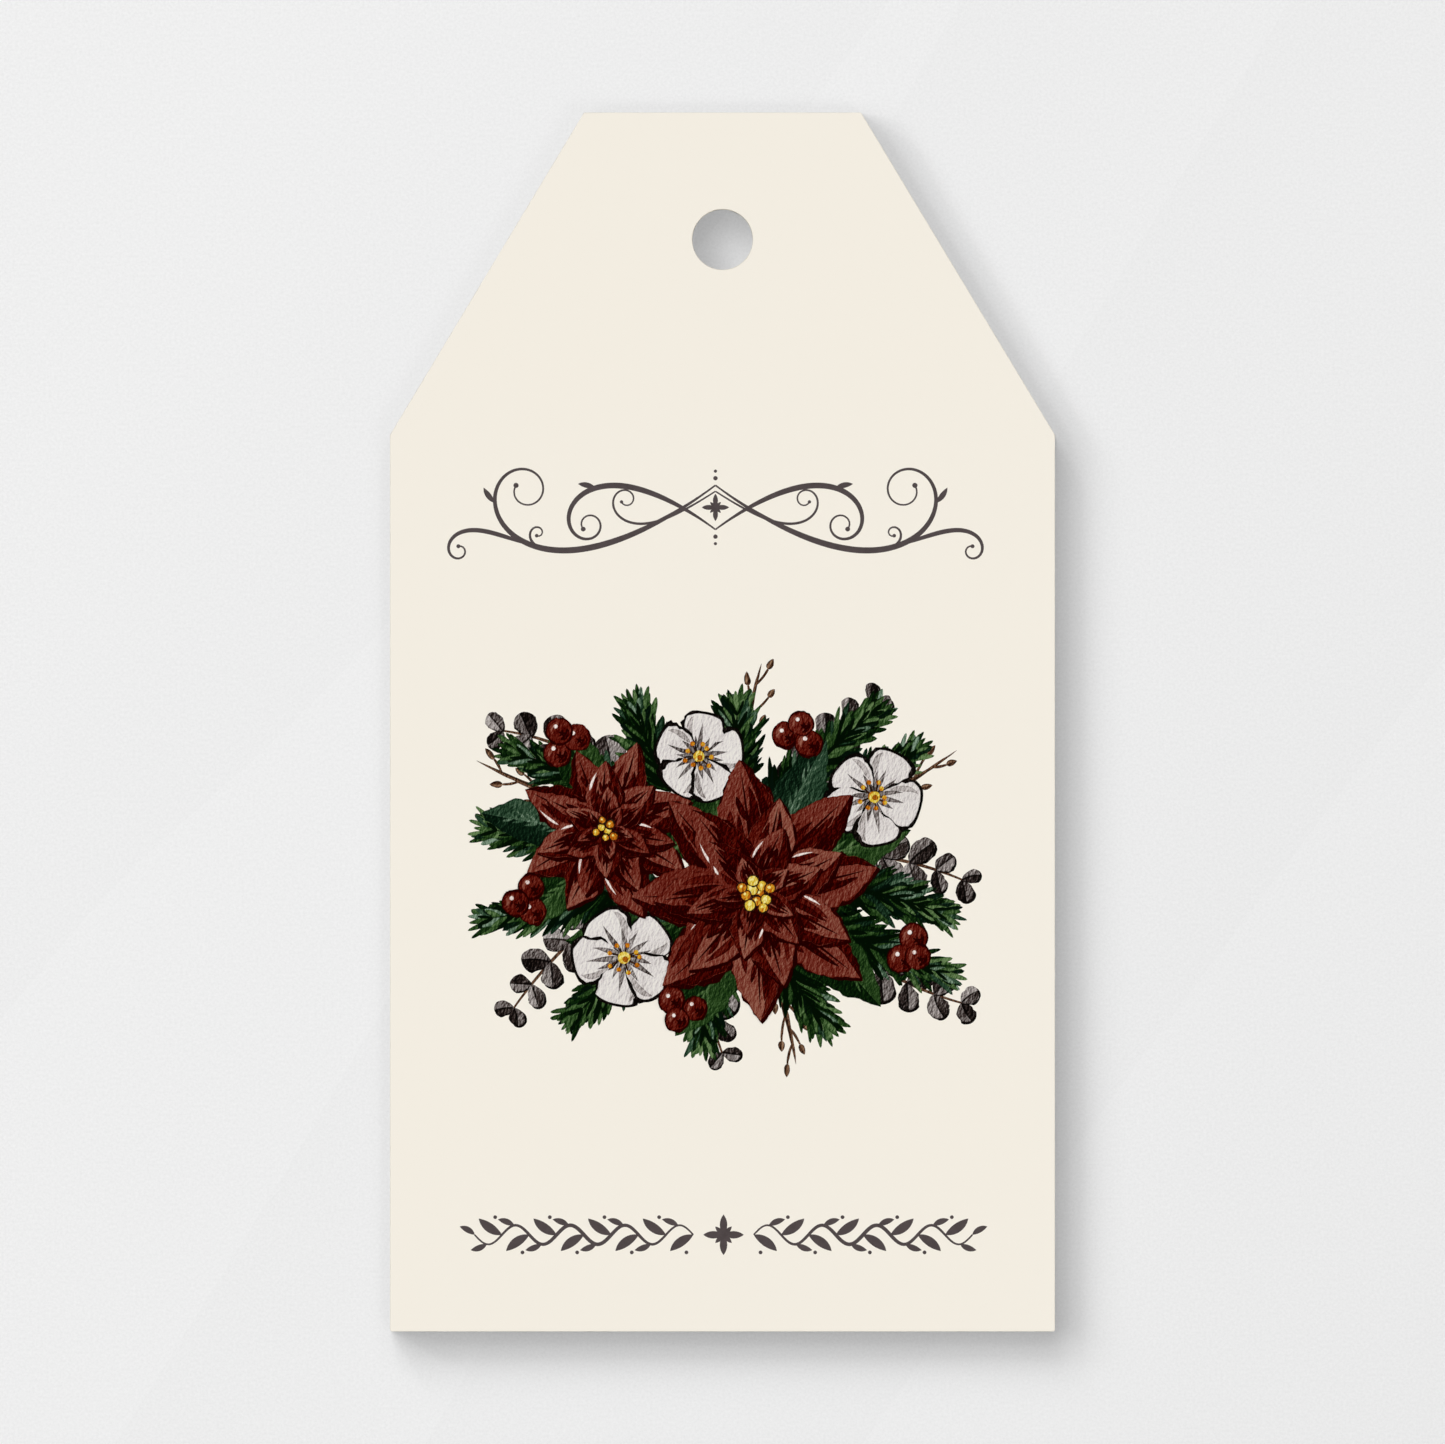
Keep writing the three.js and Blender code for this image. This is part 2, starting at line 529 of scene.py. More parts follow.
def paint_material(name, pigments, grain):
    """Watercolour in print: each stroke has its tone, a darker rim and bristle marks, and the
    rough paper that it was painted on shows through all of them as a slanting grain."""
    material, tree, shader = new_material(name)
    tone = node(tree, "Attribute", attribute_name="tone").outputs["Fac"]
    other = math_node(tree, "GREATER_THAN", tone, OTHER_HUE * 0.75)
    tone = scaled(tree, other, -OTHER_HUE, tone)
    stroke = node(tree, "Attribute", attribute_name="stroke").outputs["Vector"]
    rim = node(tree, "SeparateXYZ", {0: stroke}).outputs["Z"]

    pool = spots(tree, millimetres(tree), 0.32, detail=4, roughness=0.55, distortion=0.6)
    pool = math_node(tree, "SUBTRACT", pool, 0.5)
    front = spots(tree, millimetres(tree, shift=(31, 17, 0)), 0.55, detail=5, roughness=0.6)
    front = remap(tree, front, 0.53, 0.56)
    bristle = node(tree, "Mapping", {"Vector": stroke, "Scale": (0.35, 5.0, 0.0)})
    bristle = math_node(tree, "SUBTRACT", spots(tree, bristle.outputs["Vector"], 1.0, 3), 0.5)

    lean = math.radians(76)
    relief = (1.9, 3.0, 1)
    bright = spots(tree, millimetres(tree, relief, lean), 1.0, detail=3, roughness=0.6)
    dark = spots(tree, millimetres(tree, relief, lean, (0.08, -0.04, 0)), 1.0, detail=3, roughness=0.6)
    emboss = math_node(tree, "SUBTRACT", bright, dark)

    edge = remap(tree, rim, 0.02, 0.16, -0.12, 0.0)
    total = scaled(tree, pool, 0.45, tone)
    total = scaled(tree, front, 0.05, total)
    total = scaled(tree, bristle, 0.14, total)
    total = scaled(tree, emboss, grain, total)
    total = math_node(tree, "ADD", total, edge)
    tints = [ramp(tree, total, [(at, colour(text)) for at, text in family]) for family in pigments]
    tint = blend(tree, other, *tints)
    surface(tree, shader, tint, bright, 0.5e-6, roughness=0.85, specular=0.03)
    return material


def shared_material(name, make, *values):
    """The named material, made the first time that it is asked for."""
    return bpy.data.materials.get(name) or make(*values)


class OBJECT_OT_tag_card(bpy.types.Operator):
    """Give the two sheets and the glue film their finish"""

    bl_idname = "object.tag_card"
    bl_label = "Finish the Card"

    def execute(self, context):
        paper = context.scene.tag_paper
        card = card_material(paper)
        glue = glue_material(paper)
        for name, material in (("front_sheet", card), ("back_sheet", card), ("glue_film", glue)):
            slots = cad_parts[name].data.materials
            slots.clear()
            slots.append(material)
            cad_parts[name].visible_diffuse = False
        return {"FINISHED"}


def leaf(bm, rng, start, heading, length, breadth, tone, turn, veins):
    """A broad leaf: a wash, a darker glaze over one half, a midrib and side veins."""
    steps = max(12, round(length / 0.4))
    line = course(start, heading, length, turn, steps=steps)
    guide = course(start, heading, length, turn, steps=20, even=True)
    shape = swell(breadth, 0.75, 0.95)
    lay(bm, line, shape, tone, across=4, ragged=0.42, fade=0.1)
    side = rng.choice((-1, 1))
    span = (0.05, 0.97) if side > 0 else (-0.97, -0.05)
    lay(bm, line, shape, tone - 0.2, across=3, span=span, ragged=0.42, fade=-0.1)
    count = max(3, round(length / 2))
    for k in range(count):
        for way in (-1, 1):
            point, facing = along(guide, 0.12 + 0.7 * k / count + rng.uniform(-0.02, 0.02))
            size = breadth * rng.uniform(0.36, 0.46) * (1 - 0.45 * k / count)
            vein = course(point, facing + way * rng.uniform(30, 40), size, -way * 16, steps=6)
            lay(bm, vein, swell(0.32, 0.3, 0.7), tone + veins + rng.uniform(-0.06, 0.06), ragged=0.05)
    rib = course(start, heading, length * 0.92, turn * 0.92, steps=14)
    lay(bm, rib, swell(0.34, 0.25, 0.7), tone + veins, ragged=0.05)


def fir_bough(bm, rng, start, heading, length, turn):
    """One fir bough: broad dark dabs along its middle, with layers of narrow needles over them."""
    spine = course(start, heading, length, turn, steps=40, even=True)

    def dabs(gap, reach, breadth, slant, tones, lowest, steps=6, blunt=0.5):
        count = max(2, round(length / gap))
        for k in range(count):
            share = (k + rng.uniform(0.1, 0.9)) / count
            point, facing = along(spine, share)
            taper = 1 - 0.5 * share**2.2
            for side in (-1, 1):
                lean = side * (slant * (1 - 0.42 * share) + rng.uniform(-8, 8))
                size = reach * taper * rng.uniform(0.72, 1.1)
                wide = breadth * rng.uniform(0.75, 1.2)
                line = course(point, facing + lean, size, -side * rng.uniform(-2, 14), steps=steps)
                tone = rng.choice(tones) + rng.uniform(-0.05, 0.05) - 0.42 * (1 - share)
                lay(bm, line, swell(wide, 0.5, blunt), tone, ragged=0.16, fade=0.12, lowest=lowest)

    pale = (0.74, 0.84, 0.94, 0.88 + OTHER_HUE, 0.7)
    middle = (0.6, 0.5, 0.4, 0.56 + OTHER_HUE, 0.3)
    deep = (0.0, 0.08, 0.14, 0.26 + OTHER_HUE, 0.12 + OTHER_HUE)
    dabs(1.3, 3.6, 1.5, 44, middle + deep, 0, steps=7, blunt=0.35)
    dabs(0.6, 4.9, 0.62, 50, pale + middle, 8, steps=7)
    dabs(1.2, 3.0, 1.2, 40, deep, 22, steps=7, blunt=0.35)
    dabs(0.8, 4.3, 0.56, 44, middle + deep, 28)
    dabs(1.3, 3.7, 0.46, 40, pale, 38)
    dabs(1.6, 3.0, 0.4, 34, (0.0, 0.06), 44)
    tip, facing = along(spine, 1.0)
    for lean in (-32, 27, -20, 14, -8, 3):
        line = course(step_from(tip, facing, -1.4), facing + lean, rng.uniform(3.0, 3.8), steps=7)
        lay(bm, line, swell(0.58, 0.5, 0.5), rng.choice(pale + middle), ragged=0.14, lowest=20)
    lay(bm, course(start, heading, length, turn, steps=30), swell(0.5, 0.3, 0.9), 0.0)


def silver_sprig(leaves, stems, rng, start, heading, length, turn, size):
    """A sprig of round silver leaves in pairs, which get smaller towards its tip."""
    spine = course(start, heading, length, turn, steps=30, even=True)
    lay(stems, course(start, heading, length, turn, steps=24), pen(0.2, 0.34), 0.35)
    count = round(length / (size * 0.72))
    for k in range(count):
        share = 0.1 + 0.86 * k / (count - 1)
        point, facing = along(spine, share)
        for side in (-1, 1):
            grown = size * (1 - 0.5 * share) * rng.uniform(0.88, 1.1)
            lean = facing + side * rng.uniform(48, 68)
            twist = side * rng.uniform(-24, -4)
            line = course(point, lean, grown, twist, steps=14)
            round_leaf = swell(grown * rng.uniform(0.72, 0.86), 0.75, 0.5)
            tone = rng.choice((0.44, 0.52, 0.6, 0.68))
            shade = course(step_from(point, SHADE_WAY, 0.2), lean, grown * 1.03, twist, steps=12)
            lay(leaves, shade, round_leaf, 0.0, ragged=0.28)
            lay(leaves, line, round_leaf, tone, across=4, ragged=0.28, fade=0.12)
            half = (0.0, 0.96) if rng.random() < 0.5 else (-0.96, 0.0)
            lay(leaves, line, round_leaf, tone - 0.3, across=3, span=half, ragged=0.28, fade=-0.2)
            rib = course(point, lean, grown * 0.86, twist * 0.86, steps=7)
            lay(leaves, rib, swell(0.2, 0.3, 0.6), tone - 0.42)


def blossom(petals, rng, centre, radius, spin):
    """A pale blossom of five round petals, each outlined with the brush and shaded at its base."""
    for k in range(5):
        heading = spin + 72 * k + rng.uniform(-7, 7)
        size = radius * rng.uniform(0.93, 1.05)
        broad = size * rng.uniform(0.82, 0.94)
        twist = rng.uniform(-12, 12)
        line = course(centre, heading, size + 0.24, twist, steps=18)
        lay(petals, line, swell(broad + 0.72, 0.9, 0.36), 0.0, across=4, ragged=0.45)
        inner = course(step_from(centre, heading, 0.12), heading, size - 0.14, twist, steps=18)
        tone = rng.uniform(0.63, 0.76) + OTHER_HUE
        lay(petals, inner, swell(broad, 0.9, 0.36), tone, across=6, ragged=0.4, fade=0.1)
        guide = course(centre, heading, size, twist, steps=16, even=True)
        shape = swell(broad, 0.9, 0.36)
        for across, end in ((-0.5, 0.55), (0.0, 0.72), (0.5, 0.55)):
            across += rng.uniform(-0.1, 0.1)
            fold = beside(guide, shape, across, 0.08, end * rng.uniform(0.85, 1.1))
            lay(petals, fold, swell(size * 0.12, 0.4, 1.1), rng.uniform(0.48, 0.64), ragged=0.08)
        shade = beside(guide, shape, rng.choice((-0.74, 0.74)), 0.3, 0.9, steps=12)
        lay(petals, shade, swell(size * 0.13, 0.8, 0.8), rng.uniform(0.78, 0.88), ragged=0.1)


def bract(bm, rng, centre, heading, length, breadth):
    """One coloured leaf of the star flower: its shadow, a wash, and strokes that follow its form."""
    base = step_from(centre, heading, 0.04 * length)
    turn = rng.uniform(-14, 14)
    steps = max(14, round(length / 0.32))
    line = course(base, heading, length, turn, steps=steps)
    guide = course(base, heading, length, turn, steps=24, even=True)
    shape = swell(breadth, 0.85, 1.0)
    shade = course(step_from(base, SHADE_WAY, 0.26), heading, length * 1.01, turn, steps=steps)
    lay(bm, shade, swell(breadth * 1.04, 0.85, 0.95), 0.0, across=4, ragged=0.42)
    wash = rng.uniform(0.54, 0.8)
    lay(bm, line, shape, wash, across=6, ragged=0.45, fade=0.14)
    dark_side = rng.choice((-1, 1))
    span = (0.46, 0.98) if dark_side > 0 else (-0.98, -0.46)
    lay(bm, line, shape, wash - 0.4, across=3, span=span, ragged=0.45, fade=-0.14)
    for across, broad, tone in (
        (-0.56 * dark_side, 0.17, 0.34),
        (0.3 * dark_side, 0.2, 0.2),
        (-0.3 * dark_side, 0.13, 0.14),
        (0.62 * dark_side, 0.15, 0.02),
    ):
        start = rng.uniform(0.04, 0.2)
        end = start + rng.uniform(0.42, 0.7)
        stroke = beside(guide, shape, across + rng.uniform(-0.08, 0.08), start, end)
        broad *= breadth * rng.uniform(0.8, 1.25)
        lay(bm, stroke, swell(broad, 0.6, 0.7), tone + rng.uniform(-0.06, 0.06), ragged=0.14)
    for k in range(2):
        for side in (-1, 1):
            point, facing = along(guide, 0.2 + 0.26 * k + rng.uniform(-0.06, 0.06))
            size = breadth * (0.5 - 0.08 * k) * rng.uniform(0.75, 1.15)
            vein = course(point, facing + side * rng.uniform(16, 28), size, -side * 16, steps=7)
            lay(bm, vein, swell(breadth * 0.1, 0.6, 0.6), rng.uniform(0.06, 0.26), ragged=0.1)
    pool = course(base, heading, length * 0.4, turn * 0.4, steps=10)
    lay(bm, pool, swell(breadth * 0.36, 0.5, 1.1), 0.04, ragged=0.14)
    rib = course(base, heading, length * 0.9, turn * 0.9, steps=16)
    lay(bm, rib, swell(0.36, 0.3, 0.8), 0.0, ragged=0.05)
    if length > 5 and rng.random() < 0.5:
        start = rng.uniform(0.3, 0.55)
        gap = beside(guide, shape, -0.8 * dark_side, start, start + rng.uniform(0.14, 0.28), steps=8)
        lay(bm, gap, swell(0.24, 0.6, 0.9), 0.95 + OTHER_HUE, ragged=0.12)


def star_flower(bm, rng, centre, radius, spin):
    """A star flower in four rings, the widest first."""
    for count, reach, breadth, offset in (
        (8, 1.0, 0.46, 0),
        (7, 0.76, 0.38, 22),
        (6, 0.52, 0.28, 10),
        (5, 0.31, 0.18, 40),
    ):
        for k in range(count):
            heading = spin + offset + 360 * k / count + rng.uniform(-5, 5)
            size = radius * reach * rng.uniform(0.92, 1.04)
            bract(bm, rng, centre, heading, size, radius * breadth * rng.uniform(0.9, 1.08))


def berry(bm, rng, centre, radius):
    """A round berry with a lit side, a spark of light and the dark crown of its calyx."""
    dot(bm, centre, radius + 0.14, 0.04, ragged=0.25, steps=14)
    dot(bm, step_from(centre, LIT_WAY, 0.04), radius, rng.uniform(0.4, 0.5), ragged=0.25, steps=14)
    start = step_from(centre, 205, radius * 0.62)
    lit = course(start, 115, radius * 1.15, -105, steps=8)
    lay(bm, lit, swell(radius * 0.42, 0.6, 0.6), rng.uniform(0.72, 0.85), ragged=0.08)
    start = step_from(centre, 20, radius * 0.66)
    shade = course(start, -70, radius * 1.2, -100, steps=8)
    lay(bm, shade, swell(radius * 0.4, 0.6, 0.6), 0.14, ragged=0.08)
    spark = step_from(centre, LIT_WAY - 2, radius * 0.48)
    dot(bm, spark, radius * 0.17, 0.97 + OTHER_HUE, across=2, steps=6)
    calyx = step_from(centre, SHADE_WAY + 10, radius * 0.3)
    for k in range(5):
        lay(bm, course(calyx, 72 * k + 10, radius * 0.34, steps=5), swell(0.2, 0.4, 0.8), 0.0)


def twig(bm, rng, start, heading, length, turn):
    """A bare brown twig with short side shoots that end in buds."""
    buds = 5
    spine = course(start, heading, length, turn, steps=30, even=True)
    lay(bm, course(start, heading, length, turn, steps=30), swell(0.62, 0.2, 0.6), 0.4, ragged=0.12)
    shaded = course(step_from(start, heading - 90, 0.08), heading, length * 0.9, turn * 0.9, steps=26)
    lay(bm, shaded, swell(0.26, 0.3, 0.6), 0.12, ragged=0.1)
    for k in range(buds):
        share = 0.35 + 0.6 * k / buds
        side = 1 if k % 2 else -1
        point, facing = along(spine, share)
        size = rng.uniform(1.8, 3.2) * (1.2 - 0.5 * share)
        shoot = course(point, facing + side * rng.uniform(30, 46), size, -side * 20, steps=8)
        lay(bm, shoot, pen(0.2, 0.28), 0.35, ragged=0.06)
        end, pointing = along(shoot, 1.0)
        bud = course(end, pointing, rng.uniform(1.0, 1.4), steps=8)
        lay(bm, bud, swell(0.62, 0.5, 0.8), 0.22, ragged=0.12)
        lay(bm, bud, swell(0.5, 0.5, 0.9), 0.66, span=(0.0, 0.9), ragged=0.1)


def heart(bm, rng, centre, radius, beads):
    """The heart of a star flower: a tight cluster of golden beads."""
    for k in range(beads):
        away = radius * math.sqrt((k + 0.4) / beads)
        place = step_from(centre, GOLDEN_ANGLE * k, away)
        size = rng.uniform(0.42, 0.56) * radius / 1.6
        dot(bm, place, size + 0.12, 0.04, ragged=0.15, steps=10)
        dot(bm, place, size, rng.choice((0.38, 0.62, 0.72)) + OTHER_HUE, ragged=0.15, steps=10)
        dot(bm, step_from(place, LIT_WAY, size * 0.3), size * 0.32, 1.0 + OTHER_HUE, across=2, steps=6)


def stamens(bm, rng, centre, radius):
    """The middle of a blossom: fine threads that end in orange grains."""
    for k in range(9):
        heading = 40 * k + rng.uniform(-12, 12)
        size = radius * rng.uniform(0.75, 1.1)
        line = course(centre, heading, size, rng.uniform(-20, 20), steps=6)
        lay(bm, line, swell(0.2, 0.3, 0.4), 0.14)
        dot(bm, line[-1][:2], 0.24, rng.choice((0.35, 0.5)) + OTHER_HUE, across=2, steps=8)
    dot(bm, centre, radius * 0.42, 0.68 + OTHER_HUE, ragged=0.15)
    dot(bm, step_from(centre, SHADE_WAY, radius * 0.12), radius * 0.2, 0.2 + OTHER_HUE, ragged=0.1)


class PaintStep:
    """What the painting steps share: their hand, their middle and the finish of a piece."""

    def begin(self, context, shift):
        prints = context.scene.tag_print
        self.rng = random.Random(prints.seed + shift)
        self.middle = tuple(prints.spray_place)

    def at(self, x, y):
        return self.middle[0] + x, self.middle[1] + y

    def finish(self, bm, name, slot):
        wash, pigments, grain = PAINTS[slot]
        piece(bm, name, shared_material(wash, paint_material, wash, pigments, grain))


class OBJECT_OT_tag_silver(PaintStep, bpy.types.Operator):
    """Paint the silver sprigs and the bare twigs that reach out furthest"""

    bl_idname = "object.tag_silver"
    bl_label = "Paint the Silver Sprigs"

    def execute(self, context):
        self.begin(context, 0)
        leaves = new_film()
        stems = new_film()
        for x, y, heading, length, turn in (
            (7, 6, 66, 13.5, -30),
            (-9, -3, 214, 17.0, 22),
            (10, -6, -44, 16.8, 30),
            (-10, 8, 140, 13.5, 34),
            (-1, -9, 262, 10.4, 30),
            (12, 1, -2, 12.8, -22),
        ):
            silver_sprig(leaves, stems, self.rng, self.at(x, y), heading, length, turn, 3.9)
        for x, y, heading, length, turn in (
            (2, 7, 88, 13.0, -14),
            (-9, 4, 163, 16.5, -10),
            (8, 3, 20, 17.5, 16),
            (4, -8, -66, 12.5, -16),
        ):
            twig(stems, self.rng, self.at(x, y), heading, length, turn)
        self.finish(stems, "twigs_print", "gold_print")
        self.finish(leaves, "silver_leaves_print", "grey_print")
        return {"FINISHED"}


class OBJECT_OT_tag_fir(PaintStep, bpy.types.Operator):
    """Paint the fir boughs that fan out behind the flowers"""

    bl_idname = "object.tag_fir"
    bl_label = "Paint the Fir Boughs"

    def execute(self, context):
        self.begin(context, 1)
        bm = new_film()
        for x, y, heading, length, turn in (
            (1, 7, 82, 8.5, 8),
            (-5, 7, 118, 9.0, -10),
            (5, 5, 50, 14.5, -12),
            (7, 3, 28, 14.5, 12),
            (-9, 6, 150, 12.5, 14),
            (-1, -8, -98, 9.5, 8),
            (5, -8, -62, 9.5, 12),
            (-6, -6, 232, 12.5, -10),
            (9, -2, -6, 13.5, -14),
            (8, -5, -28, 15.5, 10),
            (-10, 2, 178, 13.0, -8),
            (-9, -2, 200, 14.5, -12),
        ):
            fir_bough(bm, self.rng, self.at(x, y), heading, length, turn)
        self.finish(bm, "fir_boughs_print", "green_print")
        return {"FINISHED"}


class OBJECT_OT_tag_leaves(PaintStep, bpy.types.Operator):
    """Paint the broad dark leaves that lie under the flowers"""

    bl_idname = "object.tag_leaves"
    bl_label = "Paint the Broad Leaves"

    def execute(self, context):
        self.begin(context, 2)
        bm = new_film()
        for x, y, heading, length, breadth, tone in (
            (5, -1, 18, 14.5, 5.6, 0.5),
            (5, -4, -36, 15.0, 5.8, 0.44),
            (2, -6, -112, 13.0, 5.4, 0.5),
            (0, -4, 204, 16.0, 5.8, 0.46),
            (5, 1, 66, 12.5, 5.0, 0.42 + OTHER_HUE),
            (-6.0, 0.5, 44, 10.5, 4.8, 0.5),
            (-2.0, 0.5, 74, 10.0, 4.8, 0.42),
            (-3.0, -5.0, 158, 10.5, 4.8, 0.48 + OTHER_HUE),
            (-12, 5, 112, 10.0, 4.4, 0.46),
            (-13, 3, 168, 11.0, 4.6, 0.44 + OTHER_HUE),
            (-12, 1, 226, 11.0, 4.6, 0.5),
        ):
            turn = self.rng.uniform(-24, 24)
            leaf(bm, self.rng, self.at(x, y), heading, length, breadth, tone, turn, 0.24)
        self.finish(bm, "broad_leaves_print", "green_print")
        return {"FINISHED"}


class OBJECT_OT_tag_blossoms(PaintStep, bpy.types.Operator):
    """Paint the three pale blossoms"""

    bl_idname = "object.tag_blossoms"
    bl_label = "Paint the Pale Blossoms"

    def execute(self, context):
        self.begin(context, 3)
        petals = new_film()
        hearts = new_film()
        for x, y, radius, spin in (
            (-2.2, 10.6, 4.4, 10),
            (-9.6, -9.4, 5.0, 40),
            (15.2, 6.6, 4.6, 60),
        ):
            blossom(petals, self.rng, self.at(x, y), radius, spin)
            stamens(hearts, self.rng, self.at(x, y), radius * 0.3)
        self.finish(petals, "pale_blossoms_print", "grey_print")
        self.finish(hearts, "blossom_hearts_print", "gold_print")
        return {"FINISHED"}


class OBJECT_OT_tag_flowers(PaintStep, bpy.types.Operator):
    """Paint the maroon star flowers with their golden hearts"""

    bl_idname = "object.tag_flowers"
    bl_label = "Paint the Star Flowers"

    def execute(self, context):
        self.begin(context, 4)
        bm = new_film()
        hearts = new_film()
        for x, y, radius, spin, beads in ((-11.5, 3.2, 8.8, 20, 7), (3.5, -3.0, 12.8, 4, 11)):
            star_flower(bm, self.rng, self.at(x, y), radius, spin)
            heart(hearts, self.rng, self.at(x, y), radius * 0.13, beads)
        self.finish(bm, "star_flowers_print", "maroon_print")
        self.finish(hearts, "star_hearts_print", "gold_print")
        return {"FINISHED"}


class OBJECT_OT_tag_berries(PaintStep, bpy.types.Operator):
    """Paint the berries, in threes"""

    bl_idname = "object.tag_berries"
    bl_label = "Paint the Berries"

    def execute(self, context):
        self.begin(context, 5)
        bm = new_film()
        for x, y, facing in (
            (-19.0, -3.6, 190),
            (7.6, 12.4, 80),
            (18.4, -8.4, -30),
            (-3.8, -14.2, -110),
            (-15.4, 11.8, 120),
        ):
            for lean, away in ((95, 1.25), (-95, 1.25), (0, 1.45)):
                place = step_from(self.at(x, y), facing + lean + self.rng.uniform(-12, 12), away)
                berry(bm, self.rng, place, self.rng.uniform(1.1, 1.35))
        self.finish(bm, "berries_print", "maroon_print")
        return {"FINISHED"}


def ink_piece(bm, name, ink):
    """Makes a finished film of pen strokes one piece in the ink's own material."""
    piece(bm, name, shared_material("pen_ink", ink_material, ink))


def pen_pair(bm, middle, start, heading, length, turn, curl, half, knob=0.0):
    """Draws a stroke to the right of the middle, and its mirror image, with a knob at its end.

    It returns the right one, for the strokes that leave it.
    """
    steps = max(16, round(length * 4))
    for side in (-1, 1):
        place = (middle[0] + side * start[0], middle[1] + start[1])
        facing = heading if side > 0 else 180 - heading
        line = course(place, facing, length, side * turn, side * curl, steps=steps, even=True)
        lay(bm, line, half, 0)
        if knob:
            dot(bm, line[-1][:2], knob, 0, steps=12)
    return line


def rosette(bm, middle, long_leaf, short_leaf, breadth):
    """An eight-pointed star of leaf strokes."""
    for k in range(4):
        lay(bm, course(middle, 45 + 90 * k, short_leaf, steps=8), swell(breadth * 0.6, 0.9, 0.9), 0)
        lay(bm, course(middle, 90 * k, long_leaf, steps=10), swell(breadth, 0.9, 0.9), 0)


class OBJECT_OT_tag_flourish(bpy.types.Operator):
    """Draw the pen flourish above the spray"""

    bl_idname = "object.tag_flourish"
    bl_label = "Draw the Flourish"

    def execute(self, context):
        prints = context.scene.tag_print
        middle = tuple(prints.flourish_place)
        bm = new_film()
        bud = swell(0.55, 0.9, 0.9)
        scroll = pen_pair(bm, middle, (0, 2.2), -37, 39.0, 50, 470, pen(0.17, 0.62, 1.6, 2.6), 0.26)
        loop = pen_pair(bm, middle, (0, -2.2), 37, 26.0, -48, -480, pen(0.17, 0.58, 1.6, 2.4), 0.24)
        pen_pair(bm, middle, (0, 1.6), -33, 17.0, 20, 440, pen(0.15, 0.26, 1.6, 2.0), 0.17)
        for guide, share, lean, length, turn, curl, half, knob in (
            (scroll, 0.5, 0, 13.4, 6, -400, pen(0.17, 0.46, 1.2, 2.0), 0.2),
            (scroll, 0.36, 6, 9.5, -4, 400, pen(0.15, 0.34, 1.2, 2.0), 0.18),
            (scroll, 0.66, -42, 1.9, 20, 0, bud, 0),
            (loop, 0.5, 40, 1.8, -20, 0, bud, 0),
        ):
            point, facing = along(guide, share)
            start = (point[0] - middle[0], point[1] - middle[1])
            pen_pair(bm, middle, start, facing + lean, length, turn, curl, half, knob)
        rosette(bm, middle, 1.35, 0.75, 0.5)
        for away, radius in ((2.9, 0.22), (3.6, 0.16)):
            dot(bm, (middle[0], middle[1] + away), radius, 0)
            dot(bm, (middle[0], middle[1] - away), radius, 0)
        ink_piece(bm, "pen_flourish_print", prints.ink)
        return {"FINISHED"}


def waving_stem(middle, side, near, far, high, bends):
    """The line of a stem that waves away from the middle, to its right or left side."""
    line = []
    steps = bends * 14
    for i in range(steps + 1):
        phase = math.pi * bends * i / steps
        x = middle[0] + side * (near + (far - near) * i / steps)
        slope = high * math.cos(phase) * math.pi * bends / (far - near)
        line.append((x, middle[1] + high * math.sin(phase), math.atan2(slope, side)))
    return line


class OBJECT_OT_tag_vine(bpy.types.Operator):
    """Draw the leafy vine below the spray"""

    bl_idname = "object.tag_vine"
    bl_label = "Draw the Vine"

    def execute(self, context):
        prints = context.scene.tag_print
        middle = tuple(prints.vine_place)
        bm = new_film()
        rosette(bm, middle, 2.0, 1.15, 0.75)
        near = 3.0
        far = 24.7
        high = 0.95
        bends = 8
        pitch = (far - near) / bends
        for side in (-1, 1):
            lay(bm, waving_stem(middle, side, near, far, high, bends), pen(0.17, 0.38), 0)
        pen_pair(bm, middle, (far, 0), 44, 1.7, -30, 0, swell(0.6, 0.9, 0.9))
        for k in range(bends):
            way = 1 if k % 2 else -1
            start = (near + pitch * k, 0)
            pen_pair(bm, middle, start, way * 24, pitch * 1.04, way * 22, 0, swell(0.92, 0.9, 0.9))
            start = (near + pitch * (k + 0.55), -way * high * 0.95)
            pen_pair(bm, middle, start, -way * 34, pitch * 0.64, way * 26, 0, swell(0.6, 0.9, 0.9))
            for side in (-1, 1):
                x = middle[0] + side * (near + pitch * (k + 0.25))
                dot(bm, (x, middle[1] + way * 1.75), 0.19, 0, across=2, steps=8)
        ink_piece(bm, "leafy_vine_print", prints.ink)
        return {"FINISHED"}


FLOOR_HALF_WIDTH = 6.0


